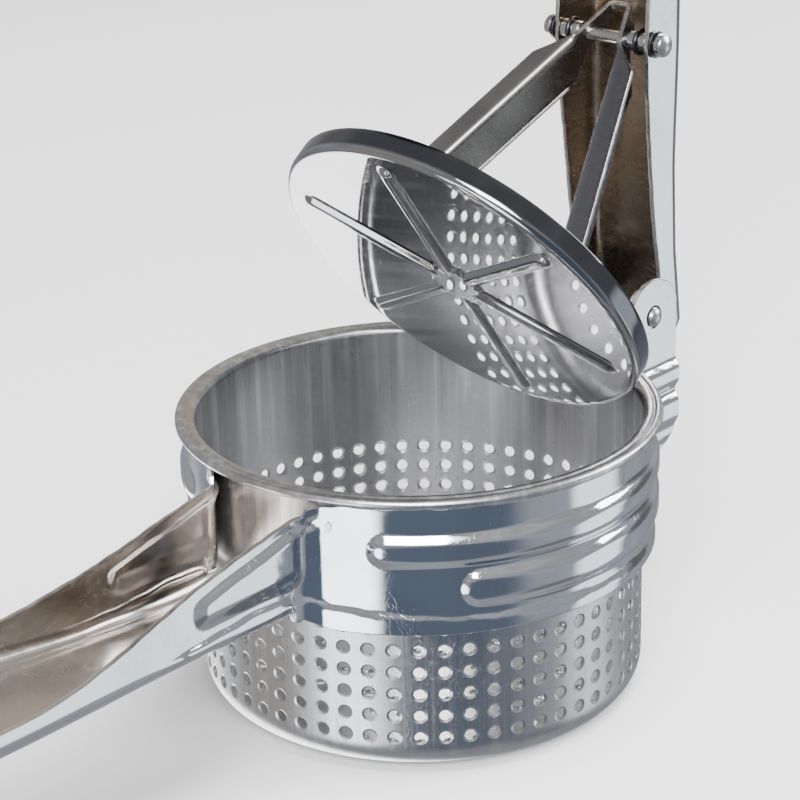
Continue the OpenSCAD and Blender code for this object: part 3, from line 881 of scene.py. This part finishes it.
DISC_R = 39.3
DISC_EDGE = 5.0
DISC_CORNER = 1.1
RIBS = 6
RIB_R = 1.6
RIB_START = 5.0
RIB_END = 33.0
RIB_OUT = 1.05
PAD_OUT = 0.8
FLAT_LINES = 62
sector = np.linspace(-0.5, 0.5, 61)[:-1]
squeezed = 0.35 * sector + 0.65 * 4 * sector ** 3
disc_angle = (np.arange(RIBS)[:, None] + squeezed).reshape(-1) * 2 * np.pi / RIBS
mid_r = DISC_R - DISC_SHEET / 2
disc_lines = np.concatenate([
    np.stack([
        np.linspace(0, mid_r - DISC_CORNER, FLAT_LINES), np.full(FLAT_LINES, DISC_SHEET / 2),
    ], axis=-1),
    bow(mid_r - DISC_CORNER, DISC_SHEET / 2 + DISC_CORNER, DISC_CORNER, -90, 0, 8)[1:],
    [[mid_r, 2.4], [mid_r, 3.2], [mid_r, 4.0], [mid_r, DISC_EDGE]],
])
disc_points, disc_faces = turned(disc_lines, disc_angle)
dx, dy = disc_points[..., 0], disc_points[..., 1]
rib_turn = np.arange(RIBS) * 2 * np.pi / RIBS
along = dx[..., None] * np.cos(rib_turn) + dy[..., None] * np.sin(rib_turn)
sideways = -dx[..., None] * np.sin(rib_turn) + dy[..., None] * np.cos(rib_turn)
rib_gap = np.hypot(np.maximum(np.maximum(RIB_START - along, along - RIB_END), 0), sideways).min(axis=-1)
pad = along.max(axis=-1)
ribs = RIB_OUT * (1 - ease(rib_gap, 0.35, RIB_R + 0.3))
pressed = np.maximum(ribs, PAD_OUT * (1 - ease(pad, 4.6, 5.6)))
disc_points[..., 2] -= np.where(np.arange(len(disc_lines))[:, None] < FLAT_LINES, pressed, 0)
disc_mesh = thickened(
    mesh_of("disc", [(hung(disc_points), disc_faces)], closed=False), DISC_SHEET, 0.14
)
face_way = (-np.sin(TILT), 0.0, -np.cos(TILT))
face_at = float(np.dot(hung(np.zeros(3)), face_way)) * MM


def painted_edge_shade(place, tone):
    """Paints shade on the turned-up edge, darker by its depth behind the flat face."""
    toward = place.node("ShaderNodeVectorMath", {"operation": "DOT_PRODUCT"}, {0: place, 1: face_way}, 1)
    depth = face_at - toward
    return (depth.between(0.0009, 0.0016) * 0.85).mixed(tone, (0.07, 0.075, 0.09, 1))


mirror_steel = steel("disc_mirror", (0.42, 0.42, 0.43), (0.38, 0.38, 0.39), 0.02, 0.03, 0.01,
                     (1.0, 1.0, 1.0), 0.08, 0.004, painted_edge_shade)
fit("ribbed_disc", disc_mesh, "plunger", ["pressing_disc"],
    [mirror_steel, strap_in_steel, cut_edge])


# ---- Floor, light and camera ----------------------------------------------------------------
# A plain pale table and soft studio light, with light, dark and warm panels out of sight for
# the bright metal to mirror. The camera stands in front on the handle's side, a little above.

floor = bpy.data.objects.new("floor", bpy.data.meshes.new("floor"))
span, drop = 3.0, -0.0004
floor_corners = [(-span, -span, drop), (span, -span, drop), (span, span, drop), (-span, span, drop)]
floor.data.from_pydata(floor_corners, [], [(0, 1, 2, 3)])
bpy.context.scene.collection.objects.link(floor)
pale = bpy.data.materials.new("pale_table")
pale.use_nodes = True
pale.node_tree.nodes["Principled BSDF"].inputs["Base Color"].default_value = (0.86, 0.86, 0.86, 1)
pale.node_tree.nodes["Principled BSDF"].inputs["Roughness"].default_value = 0.75
floor.data.materials.append(pale)
floor.visible_glossy = False


def lamp(name, spot, aim, wide, power, mirrored_too=True):
    """A square lamp at a spot, in metres, turned to face its aim. Metal can be kept from
    mirroring it."""
    light = bpy.data.lights.new(name, "AREA")
    light.size = wide
    light.energy = power
    holder = bpy.data.objects.new(name, light)
    holder.visible_glossy = mirrored_too
    holder.location = spot
    holder.rotation_euler = (Vector(aim) - Vector(spot)).to_track_quat("-Z", "Y").to_euler()
    bpy.context.scene.collection.objects.link(holder)


middle = (0.0, 0.0, 0.06)
lamp("key", (-1.0, -0.75, 0.9), middle, 0.8, 42)
lamp("fill", (1.1, -0.7, 0.7), middle, 0.8, 24)
lamp("top", (0.05, -0.25, 1.5), middle, 0.9, 40, mirrored_too=False)

world = bpy.data.worlds.new("studio")
world.use_nodes = True
bpy.context.scene.world = world
sky = world.node_tree
sight = Wire(sky).node("ShaderNodeTexCoord", {}, {}, "Generated")
height = sight.node("ShaderNodeSeparateXYZ", {}, {0: sight}, 2)
drift = sight.noise(2.2, 2.0)
studio = height.between(-0.3, 0.8).mixed((0.42, 0.45, 0.5, 1), (0.62, 0.62, 0.62, 1))
studio = (drift.between(0.35, 0.65) * 0.5).mixed(studio, (0.25, 0.24, 0.23, 1))
# The panels round the table: bearing and rise in degrees, half width, softness, colour.
panels = (
    (-126, -24, 32, 16, (0.13, 0.16, 0.215)),
    (-177, -22, 16, 8, (5.0, 5.2, 5.3)),
    (-44, -22, 14, 8, (1.9, 2.05, 2.1)),
    (-15, -8, 12, 8, (0.16, 0.16, 0.16)),
    (138, -20, 18, 12, (0.52, 0.47, 0.42)),
    (42, 24, 26, 14, (0.6, 0.52, 0.45)),
    (104, 55, 28, 12, (0.4, 0.4, 0.42)),
    (60, 62, 16, 12, (0.08, 0.08, 0.09)),
    (76, -50, 22, 12, (6.0, 6.0, 6.0)),
    (-64, -44, 12, 8, (0.2, 0.2, 0.21)),
    (-135, 42, 14, 8, (4.0, 4.0, 4.0)),
)
for bearing, lift, half, soft, shade in panels:
    flat_way = np.cos(np.radians(lift))
    spot = (flat_way * np.cos(np.radians(bearing)), flat_way * np.sin(np.radians(bearing)),
            np.sin(np.radians(lift)))
    facing = sight.node("ShaderNodeVectorMath", {"operation": "DOT_PRODUCT"}, {0: sight, 1: spot}, 1)
    inside_it = facing.between(float(np.cos(np.radians(half + soft / 2))),
                               float(np.cos(np.radians(half - soft / 2))))
    studio = inside_it.mixed(studio, (*shade, 1))
sky.links.new(studio.socket, sky.nodes["Background"].inputs["Color"])

TURN, RISE, ROLL = np.radians([-48.0, 21.85, -1.285])
DISTANCE = 0.5179
SHIFT_X, SHIFT_Y = 0.003948, -0.016112
TARGET = Vector((0, 0, 0.040))
away = Vector((np.sin(TURN) * np.cos(RISE), -np.cos(TURN) * np.cos(RISE), np.sin(RISE)))
level = Vector((np.cos(TURN), np.sin(TURN), 0))
upright = away.cross(level)
camera_right = level * np.cos(ROLL) + upright * np.sin(ROLL)
camera_up = upright * np.cos(ROLL) - level * np.sin(ROLL)
lens = bpy.data.cameras.new("camera")
lens.lens = 119.5
lens.sensor_width = 36
camera = bpy.data.objects.new("camera", lens)
stand = TARGET + away * DISTANCE - camera_right * SHIFT_X - camera_up * SHIFT_Y
axes = Matrix([camera_right, camera_up, away]).transposed().to_4x4()
camera.matrix_world = Matrix.Translation(stand) @ axes
bpy.context.scene.collection.objects.link(camera)
bpy.context.scene.camera = camera
